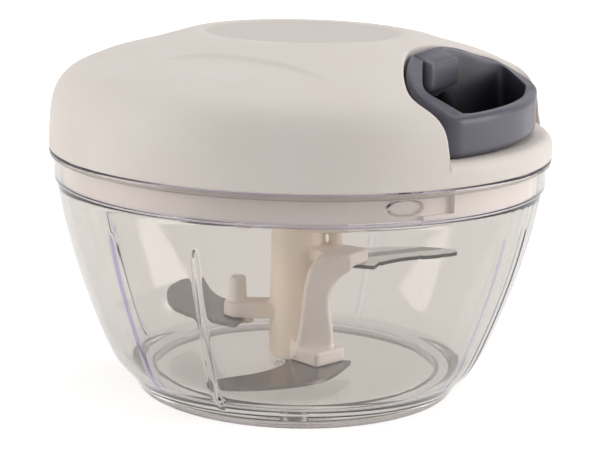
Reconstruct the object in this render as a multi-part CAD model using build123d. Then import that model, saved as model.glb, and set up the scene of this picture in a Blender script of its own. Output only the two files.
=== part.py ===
from build123d import *
import math
import os

# Hand-pulled vegetable chopper: a clear bowl, a blade set on a centre pin, and a domed lid
# that holds a cord spool, its recoil spring and a one-way clutch.
# Millimetres, +Z up. The origin is the middle of the bowl's foot, on the blade's axis.
# The handle is pulled along +X. Angles are degrees, counted from +X, seen from above.

# Main sizes
rim_radius = 65.0
rim_height = 63.5
lid_rise = 30.9
floor_top = 6.4
bowl_wall = 2.2
lid_wall = 2.0
fit_gap = 0.3
running_gap = 0.05
overrun = 1.0

# Bowl
foot_step = 0.7
foot_depth = 2.9
foot_width = 3.6
foot_round = 0.8
collar_height = 8.2
collar_step = 0.45
lip_overhang = 1.3
lip_height = 1.9
collar_wall = 1.9
lug_width = 9.0
lug_height = 4.0
lug_depth = 1.1
lug_drop = 3.9
lug_first_angle = -39.0
lug_count = 3
rib_width = 1.7
rib_proud = 0.8
rib_top_drop = 16.8
rib_foot = 5.2
rib_first_angle = -85.0
rib_count = 4
floor_boss_radius = 4.6
floor_boss_height = 0.8

# Wall of the bowl from foot to collar, as shares of rim radius and rim height
bowl_wall_shares = [
    (0.648, 0.009),
    (0.672, 0.050),
    (0.722, 0.107),
    (0.796, 0.246),
    (0.876, 0.467),
    (0.943, 0.717),
    (0.970, 0.867),
]

# Centre pin
pin_radius = 2.5
pin_height = 26.0
pin_sink = 2.4

# Lid cover
lid_gap = 0.3
dish_radius = 26.5
dish_depth = 0.5
shelf_rise = 5.8
shelf_round = 2.6
pocket_floor = 1.8
pocket_reach = 33.2
pocket_half_width = 33.0
pocket_end_half_width = 11.0
pocket_shoulder_inset = 15.5
nose_bulge_share = 0.12

# Dome of the lid from the dish to the rim, as shares of rim radius and lid rise
dome_shares = [
    (0.431, 0.975),
    (0.523, 0.932),
    (0.615, 0.870),
    (0.708, 0.818),
    (0.785, 0.773),
    (0.846, 0.722),
    (0.900, 0.666),
    (0.952, 0.568),
    (0.984, 0.420),
    (0.996, 0.220),
]

# Inner lid with its skirt
skirt_wall = 3.0
skirt_gap = 0.3
skirt_drop = 7.6
base_plate = 2.0
base_plate_lift = 1.8
groove_depth = 1.5
groove_gap = 0.5
lock_angle = 8.0
seal_height = 1.2
hub_hole_gap = 0.4

# Screws that hold the inner lid and the mechanism
lid_screw_inset = 13.5
lid_screw_near_angle = 70.0
lid_screw_far_angle = 142.0
screw_radius = 1.4
screw_head_radius = 2.9
screw_head_height = 1.7
screw_reach = 8.0
screw_recess = 0.5
screw_boss_radius = 3.8
housing_screw_first_angle = 90.0
housing_screw_step_angle = 90.0
housing_screw_count = 3
housing_foot_radius = 4.2
housing_foot_height = 2.0
housing_screw_outset = 3.2
housing_boss_drop = 4.0
slot_width = 0.8
slot_depth = 0.7

# Cord and spool
cord_radius = 0.9
cord_bend_radius = 4.0
winding_radius = 18.0
winding_half_height = 2.8
flange_gap = 2.6
spool_lift = 1.7
flange_height = 1.2
spool_boss_radius = 5.0
axle_radius = 2.0
guide_radius = 3.0
guide_flange_radius = 4.4
guide_flange = 0.6
guide_bore_radius = 1.5
knot_radius = 2.2

# Mechanism housing
housing_radius = 29.4
housing_wall = 1.8
housing_roof = 1.5
spring_cup_radius = 22.0
spring_cup_wall = 1.4
spring_height = 4.4
spring_thickness = 0.5
spring_turns = 6
spring_inner_radius = 6.2
spring_points_a_turn = 12
spring_cover_height = 0.9
clip_radius = 3.6
clip_height = 0.6
cord_window_half_width = 6.0
cord_window_half_height = 2.4

# Drive hub, pawls and dog coupling
hub_radius = 10.4
hub_drop = 9.2
hub_disc_radius = 17.4
hub_disc = 1.5
ring_wall = 1.8
ring_height = 4.2
tooth_depth = 1.7
tooth_count = 12
tooth_back_share = 0.6
socket_gap = 0.4
tongue_width = 13.0
tongue_thickness = 3.2
tongue_height = 4.3
dog_angle = 53.0
dog_inner_radius = 3.6
pawl_count = 2
pawl_pivot_circle = 8.6
pawl_pin_radius = 1.1
pawl_eye_radius = 2.1
pawl_width = 1.9
pawl_height = 3.2
pawl_angle = 50.0

# Blade set
column_radius = 7.2
column_lift = 0.3
platform_width = 10.3
platform_height = 3.7
web_width = 8.0
lower_platform_circle = 13.7
lower_platform_angle = -38.3
lower_platform_turn = -18.5
lower_blade_height = 8.6
middle_arm_reach = 19.4
middle_arm_width = 9.0
middle_arm_angle = -152.0
middle_blade_height = 16.8
upper_platform_circle = 13.4
upper_platform_angle = -3.3
upper_platform_turn = -5.0
upper_blade_height = 33.2
post_foot_radius = 2.6
post_top_radius = 2.1
post_height = 6.8
upper_post_circle = 10.0
upper_post_angle = 15.0
upper_post_height = 3.6
upper_post_foot_radius = 2.0
upper_post_top_radius = 1.6
middle_post_inset = 3.6
strut_circle = 12.2
strut_angle = -62.0
strut_depth = 5.4
strut_span = 13.7
strut_rise = 26.7
strut_round = 1.2
edge_round = 0.8
blade_sheet = 1.0
blade_peg_radius = 1.5
blade_button_radius = 2.4
blade_button = 0.5

# Left and right edge of the strut, as shares of its span sideways and its rise
strut_left_shares = [(-0.07, -0.02), (0.08, 0.37), (0.16, 0.71), (0.34, 0.92), (0.67, 0.99), (1.0, 0.97)]
strut_right_shares = [(1.0, 0.83), (0.82, 0.765), (0.66, 0.65), (0.65, 0.37), (0.61, -0.02)]

# One blade, as shares of its chord: along the chord and out to its cutting side
blade_cutting_shares = [
    (-0.16, 0.14),
    (0.06, 0.27),
    (0.32, 0.36),
    (0.57, 0.33),
    (0.86, 0.20),
    (0.985, 0.07),
]
blade_tip_share = 0.02
blade_back_shares = [(0.985, -0.03), (0.86, -0.05), (0.60, -0.02), (0.32, -0.06), (0.165, -0.15)]

# Where each blade starts and ends: circle and angle of its root, and of its tip in from the rim
lower_blade_root_circle = 14.0
lower_blade_root_angle = -34.0
lower_blade_tip_inset = 23.8
lower_blade_tip_angle = -93.0
middle_blade_root_circle = 13.6
middle_blade_root_angle = -146.0
middle_blade_tip_inset = 17.4
middle_blade_tip_angle = 158.5
upper_blade_root_circle = 14.4
upper_blade_root_angle = -6.0
upper_blade_tip_inset = 21.2
upper_blade_tip_angle = 39.5

# Handle
handle_gap = 1.1
handle_drop = 0.7
handle_inset = 4.6
handle_half_width = 27.6
handle_end_half_width = 9.0
handle_shoulder_inset = 17.5
handle_corner_inset = 10.4
handle_corner_half_width = 25.8
handle_side_wall = 3.0
handle_end_wall = 4.0
handle_outer_wall = 3.2
handle_floor = 2.0
handle_top_sink = 0.5
handle_fall_inset = 19.0
handle_fall_drop = 7.9
handle_fall_angle = 30.0
handle_corner_round = 2.2
boss_half_width = 7.6
boss_reach = 9.0
boss_lift = 0.8
boss_round = 2.2

# Heights and radii worked out from the sizes above
foot_radius = bowl_wall_shares[0][0] * rim_radius - foot_step
lid_screw_circle = rim_radius - lid_screw_inset
lid_screw_angles = [lid_screw_near_angle, lid_screw_far_angle, -lid_screw_far_angle, -lid_screw_near_angle]
housing_screw_circle = housing_radius + housing_screw_outset
housing_screw_angles = [
    housing_screw_first_angle + number * housing_screw_step_angle for number in range(housing_screw_count)
]
collar_foot = rim_height - collar_height
collar_outer = rim_radius - lip_overhang
collar_inner = collar_outer - collar_wall
lid_foot = rim_height + lid_gap
lid_top = rim_height + lid_rise
shelf_top = rim_height + shelf_rise
plate_foot = rim_height + base_plate_lift
plate_top = plate_foot + base_plate
skirt_outer = collar_inner - skirt_gap
skirt_inner = skirt_outer - skirt_wall
skirt_foot = rim_height - skirt_drop
cover_inner = rim_radius - lid_wall
lug_middle = rim_height - lug_drop
hub_foot = plate_top - hub_drop
hub_disc_foot = plate_top + fit_gap
hub_disc_top = hub_disc_foot + hub_disc
spool_foot = hub_disc_top + ring_height + spool_lift
drum_foot = spool_foot + flange_height
cord_height = drum_foot + winding_half_height
drum_top = cord_height + winding_half_height
drum_radius = winding_radius - cord_radius
flange_radius = housing_radius - housing_wall - flange_gap
roof_foot = drum_top + flange_height + fit_gap
roof_top = roof_foot + housing_roof
spring_top = roof_top + fit_gap + spring_height
axle_top = spring_top + fit_gap
clip_foot = spring_top - clip_height
socket_radius = column_radius + socket_gap
column_foot = floor_top + floor_boss_height + column_lift
tongue_top = hub_disc_foot - fit_gap - overrun
tongue_foot = tongue_top - tongue_height
socket_roof = tongue_top + fit_gap
pocket_shoulder_x = rim_radius - pocket_shoulder_inset
handle_radius = rim_radius - handle_inset
handle_shoulder_x = rim_radius - handle_shoulder_inset
handle_corner_x = rim_radius - handle_corner_inset
handle_foot = shelf_top + handle_drop
handle_end = pocket_reach + handle_gap
knot_x = handle_end + handle_end_wall + knot_radius
guide_x = pocket_reach + guide_flange


def polar(radius, angle, height=0):
    """A place given by its distance from the axis, its angle and its height."""
    turn = math.radians(angle)
    return Vector(radius * math.cos(turn), radius * math.sin(turn), height)


def turned(edges):
    """A solid of revolution about the chopper's axis from edges in the XZ plane."""
    return revolve(make_face(edges), Axis.Z, 360)


def ring(outer, inner, foot, top):
    """A plain ring or, with no inner radius, a disc on the axis."""
    height = top - foot
    body = Pos(0, 0, foot) * Cylinder(outer, height, align=(Align.CENTER, Align.CENTER, Align.MIN))
    if inner:
        low = foot - overrun
        bore = Cylinder(inner, height + 2 * overrun, align=(Align.CENTER, Align.CENTER, Align.MIN))
        body -= Pos(0, 0, low) * bore
    return body


def upright(radius, foot, top, place=Vector(0, 0, 0)):
    """A round bar from one height to another at a place in plan."""
    bar = Cylinder(radius, top - foot, align=(Align.CENTER, Align.CENTER, Align.MIN))
    return Pos(place.X, place.Y, foot) * bar


def shifted(points, distance):
    """Points moved square to the line through their neighbours, to the left of its direction."""
    moved = []
    last = len(points) - 1
    for place, (x, z) in enumerate(points):
        x0, z0 = points[max(place - 1, 0)]
        x1, z1 = points[min(place + 1, last)]
        run = math.hypot(x1 - x0, z1 - z0)
        moved.append((x - distance * (z1 - z0) / run, z + distance * (x1 - x0) / run))
    return moved


def section(points):
    """Points of a radius and a height, as places in the XZ plane."""
    return [(x, 0, z) for x, z in points]


def sector(radius, foot, top, start, end):
    """A wedge of a disc between two angles under 180 degrees apart."""
    height = top - foot
    outline = [Vector(0, 0, 0), polar(radius, start), polar(radius, (start + end) / 2), polar(radius, end)]
    arc = ThreePointArc(outline[1], outline[2], outline[3])
    face = make_face([Line(outline[0], outline[1]), arc, Line(outline[3], outline[0])])
    return Pos(0, 0, foot) * extrude(face, height)


def plate(points, foot, top):
    """A straight-sided plate with the given outline in plan."""
    return Pos(0, 0, foot) * extrude(make_face([Polyline(*points, close=True)]), top - foot)


def bowl_line():
    return [(r * rim_radius, z * rim_height) for r, z in bowl_wall_shares]


def bowl_outer_edges():
    wall = section(bowl_line())
    top = wall[-1]
    foot_inner = foot_radius - foot_width
    return [
        Spline(*wall),
        Polyline(
            top,
            (collar_outer - collar_step, 0, collar_foot),
            (collar_outer, 0, collar_foot + collar_step),
            (collar_outer, 0, rim_height - lip_height),
            (rim_radius, 0, rim_height - lip_height + collar_step),
            (rim_radius, 0, rim_height),
            (0, 0, rim_height),
            (0, 0, foot_depth),
            (foot_inner - foot_round, 0, foot_depth),
            (foot_inner, 0, 0),
            (foot_radius, 0, 0),
            wall[0],
        ),
    ]


def bowl_inner_edges():
    line = [(r, z) for r, z in shifted(bowl_line(), bowl_wall) if z > floor_top + bowl_wall / 2]
    corner = (foot_radius - foot_round, 0, floor_top)
    wall = [corner] + section(line)
    return [
        Spline(*wall),
        Polyline(
            wall[-1],
            (collar_inner - collar_step, 0, collar_foot),
            (collar_inner, 0, collar_foot + collar_step),
            (collar_inner, 0, rim_height + overrun),
            (0, 0, rim_height + overrun),
            (0, 0, floor_top),
            corner,
        ),
    ]


def bowl_ribs(outer):
    """Upright ribs on the outside of the bowl, each with a rounded top."""
    body = turned(outer)
    line = section(shifted(bowl_line(), -rib_proud))
    proud = turned([Spline(*line), Polyline(line[-1], (0, 0, collar_foot), (0, 0, 0), line[0])])
    top = rim_height - rib_top_drop
    bar = Pos(rim_radius / 2, 0, rib_foot) * Box(
        rim_radius, rib_width, top - rib_foot, align=(Align.CENTER, Align.CENTER, Align.MIN)
    )
    bar += Pos(rim_radius / 2, 0, top) * Rot(0, 90, 0) * Cylinder(rib_width / 2, rim_radius)
    ribs = []
    for number in range(rib_count):
        angle = rib_first_angle + number * 360 / rib_count
        ribs.append(Rot(0, 0, angle) * (bar & proud))
    return [rib - body for rib in ribs]


def bowl_lug(angle):
    """An oval lug on the inside of the collar, which the lid's groove turns over."""
    tip = collar_inner - lug_depth
    plane = Plane(origin=polar(tip, angle, lug_middle), x_dir=polar(1, angle + 90), z_dir=polar(1, angle))
    shape = extrude(plane * Ellipse(lug_width / 2, lug_height / 2), lug_depth + collar_wall / 2)
    return shape - ring(tip, 0, lug_middle - lug_height, lug_middle + lug_height)


def bowl():
    shell = turned(bowl_outer_edges()) - turned(bowl_inner_edges())
    shell += upright(floor_boss_radius, foot_depth, floor_top + floor_boss_height)
    shell -= upright(pin_radius, floor_top - pin_sink, rim_height)
    for rib in bowl_ribs(bowl_outer_edges()):
        shell += rib
    for number in range(lug_count):
        shell += bowl_lug(lug_first_angle + number * 360 / lug_count)
    return shell


def centre_pin():
    bar = upright(pin_radius, floor_top - pin_sink, floor_top + pin_height)
    return chamfer(bar.edges().group_by(Axis.Z)[-1], pin_radius / 3)


def dome_line(inset=0):
    line = [(r * rim_radius, rim_height + z * lid_rise) for r, z in dome_shares]
    return shifted(line, -inset) if inset else line


def dome_solid(inset, foot):
    """The lid's outer form, solid, drawn in by an inset."""
    wall = section(dome_line(inset))
    dish = dish_radius - inset
    top = lid_top - inset
    low = top - dish_depth
    return turned(
        [
            Spline(*wall),
            Polyline(wall[-1], (rim_radius - inset, 0, foot), (0, 0, foot), (0, 0, low)),
            Polyline((0, 0, low), (dish - 2 * dish_depth, 0, low), (dish, 0, top), wall[0]),
        ]
    )


def bay_plan(reach, end_half, shoulder_x, half_width, far_half):
    """Plan of the lid's notch or of the handle: an arched inner end, wide shoulders, straight sides."""
    end_x = reach + end_half * nose_bulge_share
    far = rim_radius + 2 * overrun
    side_line = Vector(far - shoulder_x, far_half - half_width, 0)
    nose = ThreePointArc((end_x, -end_half), (reach, 0), (end_x, end_half))
    upper = Spline((end_x, end_half), (shoulder_x, half_width), tangents=[nose % 1, side_line])
    back_line = Vector(-side_line.X, side_line.Y, 0)
    lower = Spline((shoulder_x, -half_width), (end_x, -end_half), tangents=[back_line, nose % 0])
    rest = Polyline((shoulder_x, half_width), (far, far_half), (far, -far_half), (shoulder_x, -half_width))
    return make_face([nose, upper, rest, lower])


def pocket_solid(grow, foot, top):
    half = pocket_half_width + grow
    face = bay_plan(pocket_reach - grow, pocket_end_half_width, pocket_shoulder_x, half, half)
    return Pos(0, 0, foot) * extrude(face, top - foot)


def shelf_corner():
    """What the rounded outer edge of the shelf leaves out of a square corner."""
    outer = rim_radius + overrun
    low = shelf_top - shelf_round
    edge = rim_radius - shelf_round
    return turned(
        [
            ThreePointArc(
                (edge, 0, shelf_top),
                (edge + shelf_round * math.sqrt(0.5), 0, low + shelf_round * math.sqrt(0.5)),
                (rim_radius, 0, low),
            ),
            Polyline((rim_radius, 0, low), (outer, 0, low), (outer, 0, shelf_top), (edge, 0, shelf_top)),
        ]
    )


def lid_cover():
    outer = dome_solid(0, lid_foot)
    inner = dome_solid(lid_wall, lid_foot - overrun)
    shell = outer - inner
    tray = pocket_solid(lid_wall, shelf_top - pocket_floor, lid_top) & outer
    shell += tray
    for angle in lid_screw_angles:
        post = upright(screw_boss_radius, plate_top + fit_gap, lid_top, polar(lid_screw_circle, angle))
        shell += post & outer
    shell -= pocket_solid(0, shelf_top, lid_top + overrun)
    shell -= shelf_corner() & pocket_solid(0, lid_foot, lid_top)
    shell -= Pos(0, 0, cord_height) * Rot(0, 90, 0) * upright(guide_radius + running_gap, 0, rim_radius)
    seat = upright(guide_flange_radius + fit_gap, pocket_reach, rim_radius)
    shell -= Pos(0, 0, cord_height) * Rot(0, 90, 0) * seat
    for angle in lid_screw_angles:
        spot = polar(lid_screw_circle, angle)
        shell -= upright(screw_radius + running_gap, lid_foot, plate_top + screw_reach, spot)
    return shell


def lid_base():
    outer = cover_inner - fit_gap
    disc = ring(outer, hub_radius + hub_hole_gap, plate_foot, plate_top)
    skirt = ring(skirt_outer, skirt_inner, skirt_foot, plate_foot + overrun)
    body = disc + skirt
    for angle in housing_screw_angles:
        spot = polar(housing_screw_circle, angle)
        body += upright(screw_boss_radius, plate_foot - housing_boss_drop, plate_top, spot)
        hole_foot = plate_foot - housing_boss_drop / 2
        body -= upright(screw_radius + running_gap, hole_foot, plate_top + overrun, spot)
    for angle in lid_screw_angles:
        spot = polar(lid_screw_circle, angle)
        body -= upright(screw_radius + running_gap, lid_foot - lid_rise, plate_top + overrun, spot)
        body -= upright(screw_head_radius + fit_gap, lid_foot - lid_rise, plate_foot + screw_recess, spot)
    for number in range(lug_count):
        body -= bayonet_groove(lug_first_angle + number * 360 / lug_count)
    return body


def bayonet_groove(angle):
    """The way in for a lug, and the level run that it locks in when the lid is turned."""
    half = math.degrees(lug_width / 2 / collar_inner) + math.degrees(groove_gap / collar_inner)
    top = lug_middle + lug_height / 2 + groove_gap
    low = lug_middle - lug_height / 2 - groove_gap
    way_in = sector(rim_radius, skirt_foot - overrun, top, angle - half - lock_angle, angle + half)
    run = sector(rim_radius, low, top, angle - half, angle + half + lock_angle)
    core = ring(skirt_outer - groove_depth, 0, skirt_foot - 2 * overrun, top + overrun)
    return (way_in + run) - core


def seal_ring():
    outer = cover_inner - fit_gap
    foot = rim_height + fit_gap
    return ring(outer, collar_inner, foot, foot + seal_height)


def screw(reach):
    """A pan-head screw, its head's seat at zero height and its shank going down."""
    head = upright(screw_head_radius, 0, screw_head_height)
    slot = Box(2 * screw_head_radius, slot_width, slot_depth)
    head -= Pos(0, 0, screw_head_height - slot_depth / 2) * slot
    return head + upright(screw_radius, -reach, 0)


def lid_screws():
    shanks = []
    for angle in lid_screw_angles:
        spot = polar(lid_screw_circle, angle, plate_foot + screw_recess)
        shanks.append(Pos(spot) * Rot(180, 0, 0) * screw(screw_reach))
    return Compound(children=shanks)


def housing_screws():
    shanks = []
    for angle in housing_screw_angles:
        spot = polar(housing_screw_circle, angle, plate_top + housing_foot_height)
        shanks.append(Pos(spot) * screw(housing_foot_height + base_plate))
    return Compound(children=shanks)


def mechanism_housing():
    body = ring(housing_radius, housing_radius - housing_wall, plate_top, roof_top)
    body += ring(housing_radius, spool_boss_radius + fit_gap, roof_foot, roof_top)
    cup_inner = spring_cup_radius - spring_cup_wall
    body += ring(spring_cup_radius, cup_inner, roof_top - overrun, axle_top)
    for angle in housing_screw_angles:
        spot = polar(housing_screw_circle, angle)
        foot = upright(housing_foot_radius, plate_top, plate_top + housing_foot_height, spot)
        body += foot - ring(housing_radius - housing_wall, 0, plate_foot, roof_top)
        body -= upright(screw_radius + running_gap, plate_foot, roof_foot, spot)
    window = Box(housing_radius, 2 * cord_window_half_width, 2 * cord_window_half_height)
    return body - Pos(housing_radius, -cord_window_half_width / 2, cord_height) * window


def spring_cover():
    return ring(spring_cup_radius, axle_radius + running_gap, axle_top, axle_top + spring_cover_height)


def spool_axle():
    return upright(axle_radius, hub_disc_foot + fit_gap, axle_top + spring_cover_height)


def axle_clip():
    clip = ring(clip_radius, axle_radius, clip_foot, clip_foot + clip_height)
    return clip - Pos(clip_radius, 0, clip_foot) * Box(2 * clip_radius, axle_radius, lid_rise)


def recoil_spring():
    """A flat spiral strip, wound from the spool's boss out to the wall of its cup."""
    outer = spring_cup_radius - spring_cup_wall - fit_gap - spring_thickness
    pitch = (outer - spring_inner_radius) / spring_turns
    count = spring_turns * spring_points_a_turn
    inner_side = []
    outer_side = []
    for number in range(count + 1):
        angle = number * 360 / spring_points_a_turn
        radius = spring_inner_radius + pitch * number / spring_points_a_turn
        inner_side.append(polar(radius, angle))
        outer_side.append(polar(radius + spring_thickness, angle))
    face = make_face(
        [
            Spline(*inner_side),
            Line(inner_side[-1], outer_side[-1]),
            Spline(*outer_side[::-1]),
            Line(outer_side[0], inner_side[0]),
        ]
    )
    return Pos(0, 0, roof_top + fit_gap) * extrude(face, spring_height)


def spool():
    body = upright(drum_radius, spool_foot, roof_foot - fit_gap)
    body += upright(flange_radius, spool_foot, drum_foot)
    body += upright(flange_radius, drum_top, drum_top + flange_height)
    body += upright(spool_boss_radius, roof_foot - overrun, clip_foot - running_gap)
    for number in range(pawl_count):
        spot = polar(pawl_pivot_circle, number * 360 / pawl_count)
        body += upright(pawl_pin_radius, hub_disc_top + fit_gap, spool_foot, spot)
    return body - upright(axle_radius + running_gap, plate_foot, lid_top)


def cord_winding():
    outer = winding_radius + cord_radius
    return ring(outer, drum_radius, drum_foot + fit_gap, drum_top - fit_gap)


def cord_corner():
    """Where the cord bends from the spool's tangent to its way out along +X."""
    return Vector(pocket_reach - lid_wall - overrun, 0, cord_height)


def cord_start():
    """First place on the cord's straight run that is clear of the winding."""
    corner = cord_corner()
    turn = math.acos(winding_radius / corner.X)
    touch = Vector(winding_radius * math.cos(turn), -winding_radius * math.sin(turn), cord_height)
    clear = winding_radius + 2 * cord_radius + fit_gap
    along = math.sqrt(clear**2 - winding_radius**2)
    return touch + (corner - touch).normalized() * along


def cord_run():
    end = Vector(handle_end + handle_end_wall, 0, cord_height)
    path = FilletPolyline(cord_start(), cord_corner(), end, radius=cord_bend_radius)
    start = Plane(origin=path @ 0, z_dir=path % 0)
    return sweep(start * Circle(cord_radius), path=path)


def cord_guide():
    """A smooth eyelet in the wall of the notch, flanged on the handle's side."""
    wall_face = pocket_reach - lid_wall
    tube = upright(guide_radius, wall_face, pocket_reach)
    tube += upright(guide_flange_radius, pocket_reach, guide_x)
    tube -= upright(guide_bore_radius, wall_face - overrun, guide_x + overrun)
    return Pos(0, 0, cord_height) * Rot(0, 90, 0) * tube


def cord_knot():
    return Pos(knot_x + running_gap, 0, cord_height) * Sphere(knot_radius)


def drive_hub():
    body = upright(hub_radius, hub_foot, hub_disc_foot)
    body += upright(hub_disc_radius, hub_disc_foot, hub_disc_top)
    body += ring(hub_disc_radius, hub_disc_radius - ring_wall, hub_disc_foot, hub_disc_top + ring_height)
    step = 360 / tooth_count
    for number in range(tooth_count):
        body += ratchet_tooth(number * step, step)
    body -= upright(socket_radius, hub_foot - overrun, tongue_foot)
    dogs = upright(socket_radius, tongue_foot - overrun, socket_roof)
    for side in (90, 270):
        wedge = sector(rim_radius, tongue_foot, socket_roof, side - dog_angle, side + dog_angle)
        dogs -= wedge - ring(dog_inner_radius, 0, tongue_foot - overrun, socket_roof + overrun)
    body -= dogs
    return body - upright(axle_radius + running_gap, hub_disc_foot + running_gap, hub_disc_top + overrun)


def ratchet_tooth(angle, step):
    """One inward tooth of the hub's ring: a steep face and a long back."""
    wall = hub_disc_radius - ring_wall + running_gap
    tip = hub_disc_radius - ring_wall - tooth_depth
    back = angle + step * tooth_back_share
    outer = polar(hub_disc_radius - ring_wall / 2, (angle + back) / 2)
    points = [polar(wall, angle), polar(tip, angle), polar(wall, back), outer]
    return plate(points, hub_disc_foot, hub_disc_top + ring_height)


def pawl(number):
    """A pawl that pivots under the spool and pushes on the face of a tooth."""
    turn = number * 360 / pawl_count
    foot = hub_disc_top + fit_gap
    pivot = polar(pawl_pivot_circle, 0)
    tip = polar(hub_disc_radius - ring_wall - fit_gap, pawl_angle)
    heel = tip - polar(pawl_width, pawl_angle)
    shoulder = pivot + Vector(pawl_eye_radius, 0, 0)
    arm = plate([shoulder, tip, heel, pivot - Vector(pawl_eye_radius, 0, 0)], foot, foot + pawl_height)
    body = arm + upright(pawl_eye_radius, foot, foot + pawl_height, pivot)
    body -= upright(pawl_pin_radius + running_gap, foot - overrun, foot + pawl_height + overrun, pivot)
    return Rot(0, 0, turn) * body


lower_blade_ends = (
    polar(lower_blade_root_circle, lower_blade_root_angle),
    polar(rim_radius - lower_blade_tip_inset, lower_blade_tip_angle),
)
middle_blade_ends = (
    polar(middle_blade_root_circle, middle_blade_root_angle),
    polar(rim_radius - middle_blade_tip_inset, middle_blade_tip_angle),
)
upper_blade_ends = (
    polar(upper_blade_root_circle, upper_blade_root_angle),
    polar(rim_radius - upper_blade_tip_inset, upper_blade_tip_angle),
)


def blade(ends, foot):
    """A curved blade: a sickle in plan, its cutting side on the outside of the curve."""
    root, tip = ends
    along = tip - root
    across = Vector(-along.Y, along.X, 0)
    cutting = [root + along * u + across * v for u, v in blade_cutting_shares]
    back = [root + along * u + across * v for u, v in blade_back_shares]
    edges = [
        Spline(*cutting),
        ThreePointArc(cutting[-1], tip + across * blade_tip_share, back[0]),
        Spline(*back),
        Line(back[-1], cutting[0]),
    ]
    body = Pos(0, 0, foot) * extrude(make_face(edges), blade_sheet)
    return body - upright(blade_peg_radius, 0, rim_height, root)


def blade_fixing(ends, foot):
    """The peg through a blade's root and the button under it, moulded with the column."""
    root = ends[0]
    peg = upright(blade_peg_radius, foot - blade_button / 2, foot + blade_sheet + blade_button, root)
    return peg + upright(blade_button_radius, foot - blade_button, foot, root)


def platform(circle, angle, turn, foot):
    """A square platform, turned in plan, with softened upright corners."""
    block = Box(
        platform_width, platform_width, platform_height, align=(Align.CENTER, Align.CENTER, Align.MIN)
    )
    block = fillet(block.edges().filter_by(Axis.Z), edge_round)
    block = fillet(block.edges().group_by(Axis.Z)[-1], edge_round / 2)
    return Pos(polar(circle, angle, foot)) * Rot(0, 0, turn) * block


def arm(reach, width, angle, foot):
    """An arm out from the column, rounded at its end."""
    run = reach - width / 2
    bar = Box(run, width, platform_height, align=(Align.MIN, Align.CENTER, Align.MIN))
    bar += upright(width / 2, 0, platform_height, Vector(run, 0, 0))
    return Pos(0, 0, foot) * Rot(0, 0, angle) * bar


def post(low_radius, high_radius, height, spot, foot):
    """A tapered post with a softened top."""
    cone = Cone(low_radius, high_radius, height, align=(Align.CENTER, Align.CENTER, Align.MIN))
    cone = fillet(cone.edges().group_by(Axis.Z)[-1], edge_round / 2)
    return Pos(spot.X, spot.Y, foot) * cone


def strut():
    """The curved bar in front of the column, from the lower platform to the upper one."""
    foot = lower_blade_height + blade_sheet + platform_height / 2
    left = [(x * strut_span, 0, z * strut_rise) for x, z in strut_left_shares]
    right = [(x * strut_span, 0, z * strut_rise) for x, z in strut_right_shares]
    face = make_face([Spline(*left), Line(left[-1], right[0]), Spline(*right), Line(right[-1], left[0])])
    body = extrude(face, strut_depth / 2, both=True)
    body = fillet(body.edges().filter_by(GeomType.BSPLINE), strut_round)
    return Rot(0, 0, strut_angle + 90) * Pos(0, -strut_circle, foot) * body


def blade_column():
    top = tongue_foot - fit_gap
    body = upright(column_radius, column_foot, top)
    tongue = Box(
        tongue_width, tongue_thickness, tongue_top, align=(Align.CENTER, Align.CENTER, Align.MIN)
    )
    body += tongue & upright(column_radius, top - overrun, tongue_top)
    lower_foot = lower_blade_height + blade_sheet
    middle_foot = middle_blade_height + blade_sheet
    upper_foot = upper_blade_height + blade_sheet
    body += arm(lower_platform_circle, web_width, lower_platform_angle, lower_foot)
    body += platform(lower_platform_circle, lower_platform_angle, lower_platform_turn, lower_foot)
    body += arm(upper_platform_circle, web_width, upper_platform_angle, upper_foot)
    body += platform(upper_platform_circle, upper_platform_angle, upper_platform_turn, upper_foot)
    body += arm(middle_arm_reach, middle_arm_width, middle_arm_angle, middle_foot)
    body += blade_fixing(lower_blade_ends, lower_blade_height)
    body += blade_fixing(middle_blade_ends, middle_blade_height)
    body += blade_fixing(upper_blade_ends, upper_blade_height)
    body += strut()
    spot = polar(middle_arm_reach - middle_post_inset, middle_arm_angle)
    body += post(post_foot_radius, post_top_radius, post_height, spot, middle_foot + platform_height)
    spot = polar(upper_post_circle, upper_post_angle)
    body += post(
        upper_post_foot_radius, upper_post_top_radius, upper_post_height, spot, upper_foot + platform_height
    )
    return body - upright(pin_radius + running_gap, 0, floor_top + pin_height + fit_gap)


def handle_plan(side_wall, end_wall):
    """Plan of the handle, drawn in by its walls for the cup inside."""
    half = handle_half_width - side_wall
    slope = (handle_corner_half_width - handle_half_width) / (handle_corner_x - handle_shoulder_x)
    far_half = half + slope * (rim_radius + 2 * overrun - handle_shoulder_x)
    return bay_plan(handle_end + end_wall, handle_end_half_width, handle_shoulder_x, half, far_half)


def handle_body():
    """The handle with no cup: under the dome's line, falling away to a wall round the lid's axis."""
    line = section([(x, z) for x, z in dome_line(handle_top_sink) if x < rim_radius - fit_gap])
    edges = [
        Spline(*line),
        Polyline(line[-1], (line[-1][0], 0, handle_foot), (0, 0, handle_foot)),
        Polyline((0, 0, handle_foot), (0, 0, line[0][2]), line[0]),
    ]
    body = turned(edges) & (Pos(0, 0, handle_foot) * extrude(handle_plan(0, 0), lid_rise))
    body &= ring(handle_radius, 0, handle_foot, lid_top)
    brow = Box(rim_radius, 2 * rim_radius, lid_rise, align=(Align.MIN, Align.CENTER, Align.MIN))
    brow = Rot(0, handle_fall_angle, 0) * brow
    body -= Pos(rim_radius - handle_fall_inset, 0, lid_top - handle_fall_drop) * brow
    corners = body.edges().filter_by(Axis.Z).group_by(Axis.X)[-1]
    return fillet(corners, handle_corner_round)


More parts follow.
